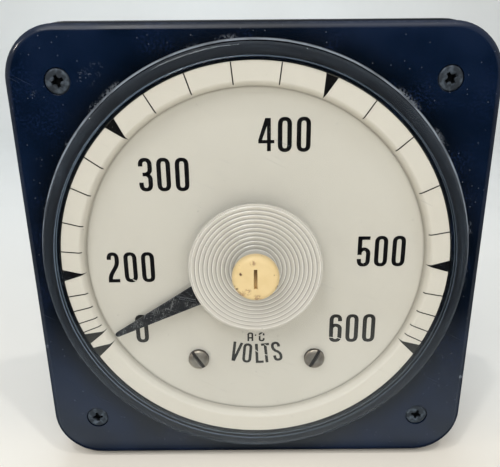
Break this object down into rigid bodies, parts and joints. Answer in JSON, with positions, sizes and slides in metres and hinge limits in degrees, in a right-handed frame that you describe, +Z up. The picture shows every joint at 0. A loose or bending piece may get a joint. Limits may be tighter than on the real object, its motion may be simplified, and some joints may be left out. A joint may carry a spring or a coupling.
{
  "type": "panel voltmeter",
  "caption": "Square panel voltmeter with a long circular scale, a stepped dial under a round clear window, a ridged centre boss with the zero screw, and a round rear case with studs.",
  "frame": {"origin": "middle of the bottom edge of the base flange, half way through its thickness", "axes": "+X to the right as one reads the dial, +Y backwards through the case to the terminals, +Z up, so that the dial faces -Y"},
  "size_m": [0.1116, 0.0955, 0.1115],
  "materials": {
    "black_plastic": "moulded phenolic, polished, dusty",
    "clear_plastic": "clear moulded acrylic, lightly scratched",
    "frosted_plastic": "ridged translucent moulding",
    "cream_plastic": "aged moulding with specks",
    "dial_paint": "matt enamel on aluminium",
    "pointer_paint": "matt black lacquer",
    "rubber": "moulded seal",
    "brass": "turned and milled",
    "nickel": "nickel plate, dulled",
    "steel": "zinc plate, dulled",
    "dark_steel": "blackened, worn on edges",
    "aluminium": "stamped sheet",
    "phosphor_bronze": "rolled strip",
    "enamelled_copper": "enamelled winding wire",
    "amber_plastic": "moulded phenolic bobbin",
    "ceramic": "vitreous resistor coating",
    "red_insulation": "braided sleeving",
    "white_insulation": "braided sleeving"
  },
  "bodies": {
    "root": {"front_bezel": "black_plastic", "window": "clear_plastic", "window_gasket": "rubber", "centre_boss": "frosted_plastic", "cover_gasket": "rubber", "cover_screw_1": "dark_steel", "cover_screw_2": "dark_steel", "cover_screw_3": "dark_steel", "cover_screw_4": "dark_steel", "scale_ring": "dial_paint", "dial_plate": "dial_paint", "dial_screw_1": "nickel", "dial_screw_2": "nickel", "front_jewel": "brass", "rear_jewel": "brass", "front_bridge": "brass", "rear_bridge": "brass", "movement_plate": "aluminium", "movement_screw_1": "nickel", "movement_screw_2": "nickel", "movement_screw_3": "nickel", "pillar_nut_1": "brass", "pillar_nut_2": "brass", "coil_bobbin": "amber_plastic", "coil_winding": "enamelled_copper", "fixed_iron": "dark_steel", "damping_magnet": "dark_steel", "rear_case": "black_plastic", "mounting_stud_1": "steel", "mounting_stud_2": "steel", "mounting_stud_3": "steel", "mounting_stud_4": "steel", "mounting_nut_1": "steel", "mounting_nut_2": "steel", "mounting_nut_3": "steel", "mounting_nut_4": "steel", "terminal_stud_1": "brass", "terminal_stud_2": "brass", "clamp_nut_1": "brass", "clamp_nut_2": "brass", "wire_nut_1": "brass", "wire_nut_2": "brass", "solder_tag_1": "nickel", "solder_tag_2": "nickel", "series_resistor": "ceramic", "resistor_bracket": "steel", "supply_lead": "red_insulation", "resistor_lead": "white_insulation", "return_lead": "white_insulation"},
    "moving_element": {"pointer": "pointer_paint", "pointer_hub": "brass", "balance_nut_1": "nickel", "balance_nut_2": "nickel", "spindle": "steel", "moving_iron": "dark_steel", "damping_disc": "aluminium"},
    "adjuster": {"zero_adjuster": "cream_plastic", "adjuster_drive": "brass"},
    "lever": {"zero_lever": "brass", "hairspring": "phosphor_bronze"}
  },
  "joints": [
    {"name": "pointer_sweep", "type": "hinge", "parent": "root", "child": "moving_element", "pos_m": [0, 0, 0.05575], "axis": [0, 1, 0], "range_deg": [-4.2, 238.9], "stiffness_Nm_per_rad": 0.00002, "deforming": ["hairspring"]},
    {"name": "zero_adjuster_turn", "type": "hinge", "parent": "root", "child": "adjuster", "pos_m": [0, 0, 0.05575], "axis": [0, 1, 0], "range_deg": [-15, 15]},
    {"name": "zero_lever_turn", "type": "hinge", "parent": "root", "child": "lever", "pos_m": [0, 0, 0.05575], "axis": [0, 1, 0], "range_deg": [-15, 15]}
  ],
  "couplings": [
    {"joint": "zero_lever_turn", "follows": "zero_adjuster_turn", "ratio": 1}
  ]
}
